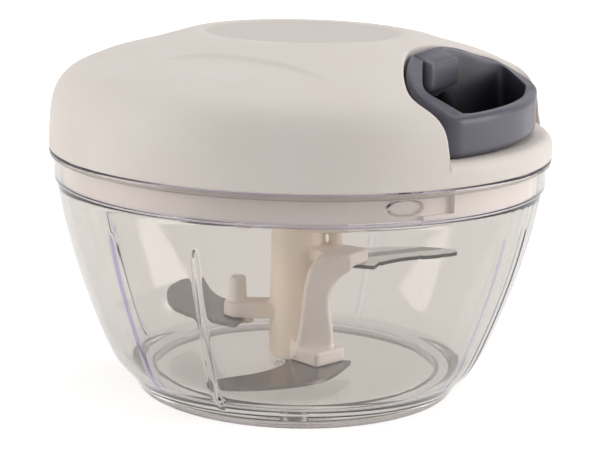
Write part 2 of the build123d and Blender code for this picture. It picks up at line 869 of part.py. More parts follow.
def handle_grip():
    """An open-topped cup for two or three fingers, with a boss that the cord's knot sits under."""
    outer = handle_body()
    cup = Pos(0, 0, handle_foot + handle_floor) * extrude(
        handle_plan(handle_side_wall, handle_end_wall), lid_rise
    )
    cup &= ring(handle_radius - handle_outer_wall, 0, handle_foot, lid_top)
    boss = Box(boss_reach, 2 * boss_half_width, lid_rise, align=(Align.MIN, Align.CENTER, Align.MIN))
    boss = fillet(boss.edges().filter_by(Axis.Z).group_by(Axis.X)[-1], boss_round)
    boss = Pos(handle_end, 0, cord_height + knot_radius + boss_lift) * boss
    hole = upright(cord_radius + fit_gap, handle_end - overrun, knot_x)
    return outer - cup + (boss & outer) - Pos(0, 0, cord_height) * Rot(0, 90, 0) * hole


parts = {
    "bowl": bowl,
    "centre_pin": centre_pin,
    "seal_ring": seal_ring,
    "lid_cover": lid_cover,
    "lid_base": lid_base,
    "lid_screws": lid_screws,
    "mechanism_housing": mechanism_housing,
    "housing_screws": housing_screws,
    "spring_cover": spring_cover,
    "recoil_spring": recoil_spring,
    "spool_axle": spool_axle,
    "axle_clip": axle_clip,
    "spool": spool,
    "cord_winding": cord_winding,
    "cord_run": cord_run,
    "cord_guide": cord_guide,
    "cord_knot": cord_knot,
    "drive_hub": drive_hub,
    "handle_grip": handle_grip,
    "blade_column": blade_column,
}

os.makedirs("parts", exist_ok=True)
for name, make in parts.items():
    export_step(make(), f"parts/{name}.step")
for number in range(pawl_count):
    export_step(pawl(number), f"parts/pawl_{number + 1}.step")
export_step(blade(lower_blade_ends, lower_blade_height), "parts/blade_lower.step")
export_step(blade(middle_blade_ends, middle_blade_height), "parts/blade_middle.step")
export_step(blade(upper_blade_ends, upper_blade_height), "parts/blade_upper.step")
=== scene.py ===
import math

import bmesh
import bpy
import numpy as np
from mathutils import Matrix, Vector
from mathutils.geometry import delaunay_2d_cdt

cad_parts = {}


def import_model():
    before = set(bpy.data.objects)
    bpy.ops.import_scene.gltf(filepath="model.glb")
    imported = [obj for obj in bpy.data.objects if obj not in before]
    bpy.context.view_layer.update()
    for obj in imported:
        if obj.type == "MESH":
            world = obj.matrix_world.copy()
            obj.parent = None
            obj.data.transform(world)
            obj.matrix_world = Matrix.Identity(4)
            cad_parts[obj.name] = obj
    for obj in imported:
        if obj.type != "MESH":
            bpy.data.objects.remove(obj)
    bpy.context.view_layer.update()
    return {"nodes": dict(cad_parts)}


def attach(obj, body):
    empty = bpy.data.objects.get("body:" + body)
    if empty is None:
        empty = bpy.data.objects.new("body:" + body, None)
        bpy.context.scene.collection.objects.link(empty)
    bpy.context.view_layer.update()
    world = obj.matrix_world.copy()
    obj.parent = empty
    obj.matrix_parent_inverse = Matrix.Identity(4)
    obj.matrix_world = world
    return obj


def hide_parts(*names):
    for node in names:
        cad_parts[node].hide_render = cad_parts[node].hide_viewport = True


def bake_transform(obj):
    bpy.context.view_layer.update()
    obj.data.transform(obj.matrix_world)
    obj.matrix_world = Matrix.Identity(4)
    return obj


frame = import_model()
nodes = frame["nodes"]
MM = 0.001
UP = np.array([0.0, 0.0, 1.0])


# ---------- camera ----------

TURN, DIP, ROLL = math.radians(28), math.radians(12.6), math.radians(1.27)
CAMERA_BACK, CAMERA_HEIGHT = 460, 145  # mm from the axis and above the floor
LENS, SHIFT = 107.4, 0.00217


def unit(*v):
    return np.array(v, dtype=float) / np.linalg.norm(v)


def set_camera():
    """Place the camera; return its level directions to the right and away from it."""
    right = unit(math.cos(TURN), math.sin(TURN), 0)
    away = unit(-math.sin(TURN), math.cos(TURN), 0)
    place = (-CAMERA_BACK * away + CAMERA_HEIGHT * UP) * MM
    forward = away * math.cos(DIP) - UP * math.sin(DIP)
    up = away * math.sin(DIP) + UP * math.cos(DIP)
    x = right * math.cos(ROLL) + up * math.sin(ROLL)
    y = up * math.cos(ROLL) - right * math.sin(ROLL)
    camera = bpy.data.objects.new("camera", bpy.data.cameras.new("camera"))
    bpy.context.scene.collection.objects.link(camera)
    matrix = Matrix.Identity(4)
    for row in range(3):
        matrix[row][0], matrix[row][1] = x[row], y[row]
        matrix[row][2], matrix[row][3] = -forward[row], place[row]
    camera.matrix_world = matrix
    camera.data.lens = LENS
    camera.data.shift_x = SHIFT
    camera.data.clip_start = 0.01
    bpy.context.scene.camera = camera
    bpy.context.scene.view_settings.view_transform = "Standard"
    return right, away


right, away = set_camera()


# ---------- materials; noise scales are per metre, bump distances in metres ----------

NOISE_LOW, NOISE_HIGH = 0.3, 0.7  # nearly all of a noise's values lie between these
CLOUDS, GRAIN = 30, 3500
FINE_GRAIN = 0.00002
MILKY_REACH = (0.0085, 0.016)  # from the axis: where the warmer, painted-lighter colour ends, and where the other begins
STRIPE_SOFT = 0.0008


def linear(r, g, b):
    """An 8-bit sRGB colour as linear values."""
    def one(v):
        v /= 255
        return v / 12.92 if v <= 0.04045 else ((v + 0.055) / 1.055) ** 2.4
    return one(r), one(g), one(b), 1


class Nodes:
    """The nodes of a material or a world, made and joined in short lines."""

    def __init__(self, owner, output="ShaderNodeOutputMaterial"):
        owner.use_nodes = True
        self.owner, self.tree = owner, owner.node_tree
        self.tree.nodes.clear()
        self.out = self.add(output)

    def add(self, kind, **values):
        """A node; each value goes to its setting of that name, or else to its socket."""
        node = self.tree.nodes.new(kind)
        for key, value in values.items():
            if hasattr(node, key):
                setattr(node, key, value)
            else:
                node.inputs[key.replace("_", " ")].default_value = value
        return node

    def join(self, a, b):
        self.tree.links.new(a, b)

    def put(self, value, socket):
        """Join another node's socket, or set a plain value."""
        if isinstance(value, bpy.types.NodeSocket):
            self.join(value, socket)
        else:
            socket.default_value = value

    def place(self):
        return self.add("ShaderNodeTexCoord").outputs["Object"]

    def edge(self):
        """The value that a mesh gives each of its points for its tint; on the lid and the handle it is a painted
        shade.
        """
        return self.add("ShaderNodeAttribute", attribute_name="edge").outputs["Fac"]

    def calculate(self, operation, a, b=None, clamp=False):
        node = self.add("ShaderNodeMath", operation=operation, use_clamp=clamp)
        self.put(a, node.inputs[0])
        if b is not None:
            self.put(b, node.inputs[1])
        return node.outputs[0]

    def vector(self, operation, a, b=None, output="Value"):
        node = self.add("ShaderNodeVectorMath", operation=operation)
        self.join(a, node.inputs[0])
        if b is not None:
            node.inputs[1].default_value = b
        return node.outputs[output]

    def ranged(self, value, start, end, low=0.0, high=1.0, smooth=False):
        """Low at start, high at end, and between them in a straight or a soft line."""
        node = self.add("ShaderNodeMapRange", interpolation_type="SMOOTHSTEP" if smooth else "LINEAR",
                        From_Min=start, From_Max=end, To_Min=low, To_Max=high)
        self.join(value, node.inputs["Value"])
        return node.outputs["Result"]

    def noise(self, scale, detail, where):
        node = self.add("ShaderNodeTexNoise", Scale=scale, Detail=detail)
        self.join(where, node.inputs["Vector"])
        return node.outputs["Fac"]

    def between(self, factor, low, high):
        return self.ranged(factor, NOISE_LOW, NOISE_HIGH, low, high)

    def blend(self, factor, a, b):
        """A colour between two."""
        node = self.add("ShaderNodeMix", data_type="RGBA")
        for value, number in ((factor, 0), (a, 6), (b, 7)):
            self.put(value, node.inputs[number])
        return node.outputs[2]

    def bump(self, height, distance, strength=1.0, normal=None):
        node = self.add("ShaderNodeBump", Distance=distance, Strength=strength)
        self.join(height, node.inputs["Height"])
        if normal:
            self.join(normal, node.inputs["Normal"])
        return node.outputs["Normal"]

    def rays(self, *kinds):
        """1 for rays of the kinds named, 0 for all others."""
        path = self.add("ShaderNodeLightPath")
        total = path.outputs[kinds[0]]
        for kind in kinds[1:]:
            total = self.calculate("MAXIMUM", total, path.outputs[kind])
        return total

    def mix(self, factor, a, b):
        """A shader between two."""
        node = self.add("ShaderNodeMixShader")
        for number, socket in enumerate((factor, a, b)):
            self.join(socket, node.inputs[number])
        return node.outputs[0]

    def finish(self, shader):
        self.join(shader, self.out.inputs["Surface"])
        return self.owner


def plastic(name, colour, other, rough, grain, gloss, deep=None):
    """Moulded plastic: slight clouding, a fine spark-eroded grain and a long soft waviness; deep is a painted
    shade colour, laid on where the mesh's edge value is high.
    """
    n = Nodes(bpy.data.materials.new(name))
    where = n.place()
    shader = n.add("ShaderNodeBsdfPrincipled", Specular_IOR_Level=gloss, IOR=1.5)
    body = n.blend(n.between(n.noise(CLOUDS, 3, where), 0, 1), colour, other)
    # painted shade: with deep, the colour darkens where the mesh's edge value is high
    if deep:
        body = n.blend(n.edge(), body, deep)
    n.join(body, shader.inputs["Base Color"])
    n.join(n.between(n.noise(4 * CLOUDS, 4, where), *rough), shader.inputs["Roughness"])
    wave = n.bump(n.noise(90, 1, where), 0.00008, 0.5)
    n.join(n.bump(n.noise(GRAIN, 2, where), grain, 1.0, wave), shader.inputs["Normal"])
    return n.finish(shader.outputs[0])


def milky(name, near, far, other, rough):
    """Milky plastic, warmer where it is thick close to the axis, and painted lighter there as painted light on
    the column inside the bowl.
    """
    n = Nodes(bpy.data.materials.new(name))
    where = n.place()
    shader = n.add("ShaderNodeBsdfPrincipled", Specular_IOR_Level=0.4, IOR=1.5)
    flat = n.vector("MULTIPLY", where, (1, 1, 0), "Vector")
    outwards = n.ranged(n.vector("LENGTH", flat), *MILKY_REACH)
    body = n.blend(n.between(n.noise(45, 3, where), 0, 0.5), n.blend(outwards, near, far), other)
    n.join(body, shader.inputs["Base Color"])
    n.join(n.between(n.noise(150, 4, where), *rough), shader.inputs["Roughness"])
    n.join(n.bump(n.noise(GRAIN, 2, where), FINE_GRAIN), shader.inputs["Normal"])
    return n.finish(shader.outputs[0])


def clear(name, tint, shade, deep, inner):
    """Clear moulded plastic that lets the lamps' light through.

    Points whose "edge" is 0 have the tint, those above 0 are nearer to deep, and those at -1 have inner.
    """
    n = Nodes(bpy.data.materials.new(name))
    where = n.place()
    shader = n.add("ShaderNodeBsdfPrincipled", Transmission_Weight=1.0, IOR=1.49, Specular_IOR_Level=0.5,
                   Roughness=0.02)
    edge = n.edge()
    outer = n.blend(edge, n.blend(n.between(n.noise(35, 3, where), 0, 1), tint, shade), deep)
    n.join(n.blend(n.calculate("MULTIPLY", edge, -1, clamp=True), outer, inner), shader.inputs["Base Color"])
    n.join(n.bump(n.noise(60, 1, where), 0.00006, 0.35), shader.inputs["Normal"])
    passing = n.add("ShaderNodeBsdfTransparent", Color=(0.99, 0.985, 0.98, 1))
    return n.finish(n.mix(n.rays("Is Shadow Ray"), shader.outputs[0], passing.outputs[0]))


def brushed(name, colour, other, rough=(0.2, 0.26), rim=None, band=None):
    """Steel with fine grinding lines along its length and a slight stain.

    rim gives a painted shade to its upright edges; band is the direction, the reach and the colour of a painted
    dark reflection stripe.
    """
    n = Nodes(bpy.data.materials.new(name))
    where = n.place()
    shader = n.add("ShaderNodeBsdfPrincipled", Metallic=1.0)
    body = n.blend(n.between(n.noise(60, 3, where), 0, 1), colour, other)
    # painted reflection: a dark stripe laid across the steel
    if band:
        across, start, end, shade = band
        half = (end - start) / 2
        off = n.calculate("SUBTRACT", n.vector("DOT_PRODUCT", where, across), (start + end) / 2)
        inside = n.ranged(n.calculate("ABSOLUTE", off), half + STRIPE_SOFT, half - STRIPE_SOFT, smooth=True)
        body = n.blend(inside, body, shade)
    # painted shade: faces that stand upright take the rim colour
    if rim:
        part = n.add("ShaderNodeSeparateXYZ")
        n.join(n.add("ShaderNodeTexCoord").outputs["Normal"], part.inputs[0])
        body = n.blend(n.between(n.calculate("ABSOLUTE", part.outputs["Z"]), 1, 0), body, rim)
    n.join(body, shader.inputs["Base Color"])
    n.join(n.between(n.noise(200, 4, where), *rough), shader.inputs["Roughness"])
    stretch = n.add("ShaderNodeMapping", Scale=(300, 300, 6000))
    n.join(where, stretch.inputs["Vector"])
    n.join(n.bump(n.noise(1, 2, stretch.outputs[0]), 0.000004, 0.4), shader.inputs["Normal"])
    return n.finish(shader.outputs[0])


def twisted(name, colour, other):
    """Braided cord."""
    n = Nodes(bpy.data.materials.new(name))
    shader = n.add("ShaderNodeBsdfPrincipled", Roughness=0.9, Specular_IOR_Level=0.2)
    wave = n.add("ShaderNodeTexWave", Scale=900, Distortion=2)
    n.join(n.place(), wave.inputs["Vector"])
    n.join(n.blend(wave.outputs["Fac"], colour, other), shader.inputs["Base Color"])
    n.join(n.bump(wave.outputs["Fac"], 0.0001, 0.8), shader.inputs["Normal"])
    return n.finish(shader.outputs[0])


# lid plastic; its deep colour is a painted shade, laid inside the dish on top
lid_white = plastic("lid_white", linear(222, 215, 210), linear(216, 208, 202), (0.5, 0.6), FINE_GRAIN, 0.25,
                    deep=linear(198, 191, 186))
# handle plastic; its deep colour is a painted shade for the inside of the cup and the boss's sides
handle_grey = plastic("handle_grey", linear(80, 78, 91), linear(75, 73, 85), (0.33, 0.43), 0.000025, 0.5,
                      deep=linear(26, 26, 31))
# cream's near colour is warmer and also painted lighter, standing in for light that the column inside the bowl
# lacks
cream = milky("cream", linear(250, 237, 221), linear(236, 230, 226), linear(231, 223, 215), (0.38, 0.48))
base_white = plastic("base_white", linear(250, 243, 241), linear(244, 237, 234), (0.36, 0.46), FINE_GRAIN, 0.4)
cream_inner = plastic("cream_inner", linear(206, 194, 180), linear(198, 186, 172), (0.4, 0.5), FINE_GRAIN, 0.4)
bowl_clear = clear("bowl_clear", (0.57, 0.535, 0.50, 1), (0.55, 0.515, 0.48, 1), (0.2, 0.165, 0.46, 1),
                   (0.97, 0.96, 0.955, 1))
blade_steel = brushed("blade_steel", linear(150, 146, 145), linear(140, 136, 135))
# upper blade's steel: painted lighter than the other blades as a painted highlight, with painted shade on its
# upright edges and a painted dark reflection stripe
painted_highlight_steel = brushed("painted_highlight_steel", linear(240, 238, 236), linear(230, 228, 226), (0.12, 0.18),
                       rim=linear(92, 88, 86),
                       band=((0.833, -0.552, 0), 0.0052, 0.0092, linear(156, 153, 150)))
plain_steel = brushed("plain_steel", linear(170, 168, 166), linear(150, 148, 146), (0.25, 0.4))
spring_steel = brushed("spring_steel", linear(130, 128, 134), linear(108, 108, 116), (0.22, 0.35))
seal_rubber = plastic("seal_rubber", linear(205, 203, 200), linear(196, 194, 190), (0.6, 0.75), 0.00003, 0.3)
cord_weave = twisted("cord_weave", linear(36, 35, 40), linear(24, 24, 28))

wearing = {
    "bowl": bowl_clear, "lid_cover": lid_white, "lid_base": base_white, "handle_grip": handle_grey,
    "blade_column": cream, "blade_lower": blade_steel, "blade_middle": blade_steel,
    "blade_upper": painted_highlight_steel, "centre_pin": plain_steel, "seal_ring": seal_rubber,
    "mechanism_housing": cream_inner, "spring_cover": plain_steel, "recoil_spring": spring_steel,
    "spool_axle": plain_steel, "axle_clip": spring_steel, "spool": cream_inner,
    "cord_winding": cord_weave, "cord_run": cord_weave, "cord_guide": plain_steel,
    "cord_knot": cord_weave, "drive_hub": cream, "pawl_1": cream_inner, "pawl_2": cream_inner,
    "lid_screws": plain_steel, "housing_screws": plain_steel,
}
for name, material in wearing.items():
    mesh = nodes[name].data
    mesh.materials.clear()
    mesh.materials.append(material)


# ---------- lines and points, in millimetres ----------

NEAREST_AT_ONCE = 4000  # points, to spare memory


def run_length(p):
    """How far along a line each of its points is."""
    return np.concatenate([[0], np.cumsum(np.linalg.norm(np.diff(p, axis=0), axis=1))])


def smooth_line(points, count):
    """Evenly spaced points on a natural cubic spline through the given ones."""
    p = np.array(points, dtype=float)
    t = run_length(p)
    n, h = len(t), np.diff(t)
    a, b = np.eye(n), np.zeros_like(p)
    for i in range(1, n - 1):
        a[i, i - 1], a[i, i], a[i, i + 1] = h[i - 1], 2 * (h[i - 1] + h[i]), h[i]
        b[i] = 6 * ((p[i + 1] - p[i]) / h[i] - (p[i] - p[i - 1]) / h[i - 1])
    m = np.linalg.solve(a, b)
    u = np.linspace(0, t[-1], count)
    k = np.clip(np.searchsorted(t, u, side="right") - 1, 0, n - 2)
    s, w = (u - t[k])[:, None], h[k][:, None]
    slope = (p[k + 1] - p[k]) / w - w * (2 * m[k] + m[k + 1]) / 6
    return p[k] + s * slope + s ** 2 * m[k] / 2 + s ** 3 * (m[k + 1] - m[k]) / (6 * w)


def spread(points, count):
    """The same line with its points spaced evenly."""
    p = np.array(points, dtype=float)
    t = run_length(p)
    u = np.linspace(0, t[-1], count)
    return np.stack([np.interp(u, t, p[:, i]) for i in range(p.shape[1])], axis=1)


def bend(before, corner, after, count):
    """Points on the curve from before to after that is drawn towards the corner."""
    u = np.linspace(0, 1, count)[:, None]
    return (1 - u) ** 2 * before + 2 * u * (1 - u) * corner + u * u * after


def step(x):
    """0 up to 0, 1 from 1 on, and a soft rise between them."""
    x = np.clip(x, 0, 1)
    return x * x * (3 - 2 * x)


def units(v):
    return v / np.maximum(np.linalg.norm(v, axis=1), 1e-9)[:, None]


def reach(points):
    """Distance from the axis."""
    return np.hypot(points[:, 0], points[:, 1])


def bearing(points):
    return np.arctan2(points[:, 1], points[:, 0])


def turned(angle, centre):
    """How far an angle is from a centre, the short way round."""
    return np.abs((angle - centre + math.pi) % math.tau - math.pi)


def polar(r, angle, z):
    """Points at distances and angles round the axis, at a height or each at its own."""
    return np.stack([r * np.cos(angle), r * np.sin(angle), np.broadcast_to(z, len(angle))], axis=1)


def level(plan, z):
    """The points of a plan at a height, or each at its own."""
    return np.column_stack([plan, np.broadcast_to(z, len(plan))])


def nearest(points, line):
    """The nearest sample of a line to each point, and how far it is."""
    best = np.empty(len(points), dtype=int)
    far = np.empty(len(points))
    for start in range(0, len(points), NEAREST_AT_ONCE):
        part = slice(start, start + NEAREST_AT_ONCE)
        gaps = np.linalg.norm(points[part][:, None, :] - line[None, :, :], axis=2)
        best[part], far[part] = gaps.argmin(axis=1), gaps.min(axis=1)
    return best, far


def in_polygon(points, corners):
    """Whether each point lies within a closed outline, seen from above."""
    x, y = points[:, 0], points[:, 1]
    odd = np.zeros(len(points), dtype=bool)
    for (x0, y0), (x1, y1) in zip(corners, np.roll(corners, -1, axis=0)):
        if y0 != y1:
            odd ^= ((y0 > y) != (y1 > y)) & (x < (x1 - x0) * (y - y0) / (y1 - y0) + x0)
    return odd


def outward(plan, inner):
    """Level directions square to a closed outline, on the side away from inner."""
    normal = units(np.stack([np.gradient(plan[:, 1]), -np.gradient(plan[:, 0])], axis=1))
    return normal * np.sign((normal * (plan - inner)).sum(axis=1))[:, None]


class Profile:
    """A turned outline: a point is given by its run along the outline and its angle."""

    def __init__(self, line):
        line = np.array(line, dtype=float)
        self.s = run_length(line)
        self.r, self.z = line[:, 0], line[:, 1]
        self.dr, self.dz = np.gradient(self.r, self.s), np.gradient(self.z, self.s)
        self.end = self.s[-1]

    def find(self, r):
        """The run at a distance from the axis."""
        return np.interp(r, np.maximum.accumulate(self.r), self.s)

    def at(self, s, angle):
        return polar(np.interp(s, self.s, self.r), angle, np.interp(s, self.s, self.z))

    def along(self, s, angle):
        """Direction along the outline, away from the axis."""
        return units(polar(np.interp(s, self.s, self.dr), angle, np.interp(s, self.s, self.dz)))

    def normal(self, s, angle):
        return units(polar(-np.interp(s, self.s, self.dz), angle, np.interp(s, self.s, self.dr)))


# ---------- meshes: millimetres become metres in Surface.finish ----------

DEGENERATE = 0.0005  # mm


class Surface:
    """Vertices and faces gathered from several patches."""

    def __init__(self):
        self.points, self.faces, self.count = [], [], 0

    def add(self, points, faces):
        self.points.append(np.array(points, dtype=float))
        self.faces += [[i + self.count for i in face] for face in faces]
        self.count += len(points)

    def grid(self, rows, closed=False):
        """Quads between rows that all have the same number of points."""
        rows = np.array(rows, dtype=float)
        high, wide = rows.shape[:2]
        faces = []
        for i in range(high - 1):
            for j in range(wide if closed else wide - 1):
                k = (j + 1) % wide
                faces.append([i * wide + j, i * wide + k, (i + 1) * wide + k, (i + 1) * wide + j])
        self.add(rows.reshape(-1, 3), faces)

    def fan(self, ring, centre, turn=1):
        """Triangles from a closed row to a centre; turn is -1 to have them face the other way."""
        count = len(ring)
        faces = [[count, i, (i + 1) % count][::turn] for i in range(count)]
        self.add(np.vstack([ring, [centre]]), faces)

    def finish(self, name, material, smooth, values=None, weld=0.004):
        """The object, with one "edge" value for each point and creases sharper than smooth degrees."""
        mesh = bpy.data.meshes.new(name)
        mesh.from_pydata((np.vstack(self.points) * MM).tolist(), [], self.faces)
        if values is not None:
            layer = mesh.attributes.new("edge", "FLOAT", "POINT")
            layer.data.foreach_set("value", np.array(values, dtype=np.float32))
        obj = bpy.data.objects.new(name, mesh)
        bpy.context.scene.collection.objects.link(obj)
        tidy(mesh, weld, math.radians(smooth))
        mesh.materials.append(material)
        return obj


def tidy(mesh, weld, limit):
    """Weld the patches, drop empty faces, turn all faces outwards and keep only sharp creases sharp."""
    b = bmesh.new()
    b.from_mesh(mesh)
    bmesh.ops.remove_doubles(b, verts=b.verts, dist=weld * MM)
    bmesh.ops.dissolve_degenerate(b, edges=b.edges, dist=DEGENERATE * MM)
    bmesh.ops.recalc_face_normals(b, faces=b.faces)
    for face in b.faces:
        face.smooth = True
    for edge in b.edges:
        if len(edge.link_faces) == 2:
            edge.smooth = edge.calc_face_angle(0) < limit
    b.to_mesh(mesh)
    b.free()
    mesh.update()


def apply_all(obj):
    """Apply the object's modifiers."""
    bpy.context.view_layer.objects.active = obj
    for other in bpy.context.selected_objects:
        other.select_set(False)
    obj.select_set(True)
    for modifier in list(obj.modifiers):
        bpy.ops.object.modifier_apply(modifier=modifier.name)


# ---------- lid cover: plans are (x, y), outlines (radius, height) ----------

NOTCH = [(33.2, 0), (33.4, 6), (34.5, 11), (36.2, 16), (38.1, 20.3), (40.3, 24.8), (42.6, 28.8), (45.1, 32.2),
         (47.2, 33.8), (49, 34.1), (51, 33.7), (53, 33.0), (54.6, 32.45), (55.9, 32.15), (56.45, 32.1)]
FAR_NOTCH = [(33.2, 0), (33.4, 6), (34.5, 11), (36.2, 16), (38.1, 20.3), (40.0, 25.2), (41.6, 29.6), (43.0, 33.4),
             (44.2, 36.3), (45.4, 38.2), (46.6, 39.4), (47.9, 40.2), (49.0, 40.65), (50.0, 40.9), (50.4, 40.97)]
DOME = [(0, 92.9), (10, 92.9), (18, 92.9), (22, 92.92), (24, 93.0), (25.4, 93.2), (26.6, 93.4), (27.6, 93.43),
        (29, 93.25), (31, 92.7), (34, 91.8), (40, 90.0), (46, 88.4), (51, 87.0), (55, 85.4), (58.5, 83.8),
        (61.9, 80.9), (63.96, 76.5), (64.74, 70.3), (64.95, 66.7)]
LID_RIM = [(64.95, 66.7), (64.98, 65.6), (65, 64.6), (64.97, 64.0), (64.85, 63.75), (64.6, 63.65)]
SHELF_HEIGHT, SHELF_BEND = 69.3, 2.6
LID_WALL = 2
CREASE = [(-36.5, -27.3), (-32.3, -25.9), (-24.9, -27.3), (-17.5, -30.5), (-12.6, -33.3), (-5.3, -37.0),
          (1.8, -41.8), (6.5, -46.9), (11.1, -53.1)]  # to the camera's right and away from it
CREASE_SHIFT = np.array([0.9, 1.7])
FACET_DEPTH, FACET_START, FACET_EDGE, FACET_WIDTH = 0.75, -0.6, 1.8, 9
FACET_ENDS = (0.2, 0.3)  # parts of the crease over which the facet fades at its ends
SWELL_HEIGHT, SWELL_CENTRE, SWELL_REACH = 0.75, math.radians(62), math.radians(34)
SWELL_RISE, SWELL_FALL = (28, 9), (48, 12)  # each a radius, and how far it takes from there
# painted shade inside the shallow dish on top of the dome: its strength, the radius where it fades and how softly
DISH_PAINTED_SHADE, DISH_RADIUS, DISH_SOFT = 0.7, 24.0, 2.6
BEYOND_LID = 90  # an x outside the lid
EDGE_ROWS = (0.1, 0.22, 0.38, 0.58, 0.82, 1.2)  # distances from the notch's edge
CREASE_ROWS = (-1.4, -0.9, -0.6, -0.3, 0, 0.3, 0.6, 0.9, 1.2, 1.6, 2.1)  # distances from the crease
ROW_SPACING = 1.5
ARC_STEP = math.radians(1.2)


def arc(start, end):
    count = max(8, int(abs(end - start) / ARC_STEP))
    return np.linspace(start, end, count + 1)


def patch(profile, edge, ends, rows, own, inside):
    """Triangles over one side of the notch's edge, laid out flat by run and angle.

    Besides the outline there are points beside the edge, on rows round the axis, and the patch's own.
    """
    s, angle, out = edge["s"], edge["angle"], edge["out"]
    rim = arc(*ends)[1:-1]
    outline = np.stack([np.concatenate([s, np.full(len(rim), profile.end)]),
                        np.concatenate([angle, rim])], axis=1)
    along = profile.along(s, angle)
    sideways = np.stack([-np.sin(angle), np.cos(angle), 0 * angle], axis=1)
    r = np.interp(s, profile.s, profile.r)
    place = np.arange(len(s))
    extra = []
    for d in EDGE_ROWS:
        ds, da = (out * along).sum(axis=1) * d, (out * sideways).sum(axis=1) * d / r
        keep = (s + ds < profile.end - 0.25) & (place > 2) & (place < len(s) - 3)
        extra.append(np.stack([s + ds, angle + da], axis=1)[keep])
    for row in rows:
        radius = np.interp(row, profile.s, profile.r)
        number = max(1, int(round(math.tau * radius / ROW_SPACING)))
        extra.append(np.stack([np.full(number, row), np.arange(number) * math.tau / number], axis=1))
    extra = np.vstack(extra + own)
    points = profile.at(extra[:, 0], extra[:, 1])
    # the first points may lie as close to the edge as its first row, the others keep clear of all its rows
    first = np.arange(len(extra)) < len(s) * len(EDGE_ROWS)
    clearance = np.where(first, EDGE_ROWS[0] * 0.8, EDGE_ROWS[-1] * 1.3)
    extra = extra[inside(points) & (nearest(points, edge["points"])[1] > clearance)]
    flat = [Vector((a * math.cos(t), a * math.sin(t))) for a, t in np.vstack([outline, extra])]
    found = delaunay_2d_cdt(flat, [], [list(range(len(outline)))], 1, 1e-5)
    where = np.array([tuple(v) for v in found[0]])
    return reach(where), bearing(where), found[2]


def crease_line():
    """The crease of the near facet in x and y."""
    flat = smooth_line(CREASE, 161) - CREASE_SHIFT
    return flat[:, :1] * right[:2] + flat[:, 1:] * away[:2]


crease = crease_line()


def crease_points(dome):
    """Runs and angles of points along the creases on both sides."""
    square = units(np.gradient(crease, axis=0))[:, ::-1] * np.array([1, -1])
    found = []
    for g in CREASE_ROWS:
        spots = (crease + square * g)[::2 if abs(g) > 1 else 1]
        for side in (1, -1):
            spots_here = spots * np.array([1, side])
            found.append(np.stack([dome.find(reach(spots_here)), bearing(spots_here)], axis=1))
    return found


def facet(points):
    """How far the shallow crescent facets on both sides of the dome lie below it."""
    tangent = units(np.gradient(crease, axis=0))
    last = len(crease) - 1
    total = np.zeros(len(points))
    for side in (1, -1):
        flat = points[:, :2] * np.array([1, side])
        index, far = nearest(flat, crease)
        gap = flat - crease[index]
        sign = np.where(tangent[index, 0] * gap[:, 1] - tangent[index, 1] * gap[:, 0] < 0, 1, -1)
        outside = sign * far
        u = index / last
        ends = step(u / FACET_ENDS[0]) * step((1 - u) / FACET_ENDS[1])
        beyond = np.where((index == 0) | (index == last), step(1 - far / 3), 1)
        fade = np.exp(-(np.maximum(outside - 1.2, 0) / FACET_WIDTH) ** 2)
        shape = step((outside - FACET_START) / FACET_EDGE) * fade
        total += FACET_DEPTH * ends * beyond * shape
    return total


def swell(points):
    """The dome stands a little higher behind the notch."""
    r = reach(points)
    turn = turned(bearing(points), SWELL_CENTRE) / SWELL_REACH
    rise, fall = [step((r - start) / width) for start, width in (SWELL_RISE, SWELL_FALL)]
    return SWELL_HEIGHT * (1 - step(turn)) * rise * (1 - fall)


def shaped(moved, points, normal):
    """Points of the dome, lowered at the facets and raised at the swell; points are where they were at first."""
    moved = moved - facet(points)[:, None] * normal
    moved[:, 2] += swell(points)
    return moved


def rounded(points, edge):
    """A patch's points, moved beside the notch's edge so that it curves into the wall."""
    index, far = nearest(points, edge["points"])
    size = np.maximum(edge["round"][index], 1e-6)
    q = np.clip(far / size, 0, 1)
    moved = points + (size * (q * q - q))[:, None] * edge["out"][index]
    return moved + (size * (1 - q) ** 2)[:, None] * edge["wall"][index]


def notch_edges(dome, shelf):
    """The notch's edge on the dome and on the shelf.

    Each has its runs, angles and points, its directions over the surface ("out") and along the wall ("wall"),
    and the size of its rounding ("round").
    """
    flat = smooth_line([(x, -y) for x, y in reversed(NOTCH[1:])] + FAR_NOTCH, 4001)
    angle, run = bearing(flat), dome.find(reach(flat))
    run[0] = run[-1] = dome.end
    length = run_length(dome.at(run, angle))
    u = np.linspace(0, length[-1], 401)
    top = {"s": np.interp(u, length, run), "angle": np.interp(u, length, angle)}
    top["points"] = dome.at(top["s"], top["angle"])
    low = {"s": shelf.find(reach(top["points"])), "angle": top["angle"]}
    low["s"][0] = low["s"][-1] = shelf.end
    low["points"] = shelf.at(low["s"], low["angle"])
    height = top["points"][:, 2] - low["points"][:, 2]
    for edge, profile, sign, size in ((top, dome, 1, 0.55), (low, shelf, -1, 0.7)):
        line = units(np.gradient(edge["points"], axis=0))
        edge["out"] = sign * units(np.cross(profile.normal(edge["s"], edge["angle"]), line))
        edge["wall"] = -sign * units(UP - line * line[:, 2:3])
        edge["round"] = size * step(height / 5)
    return top, low


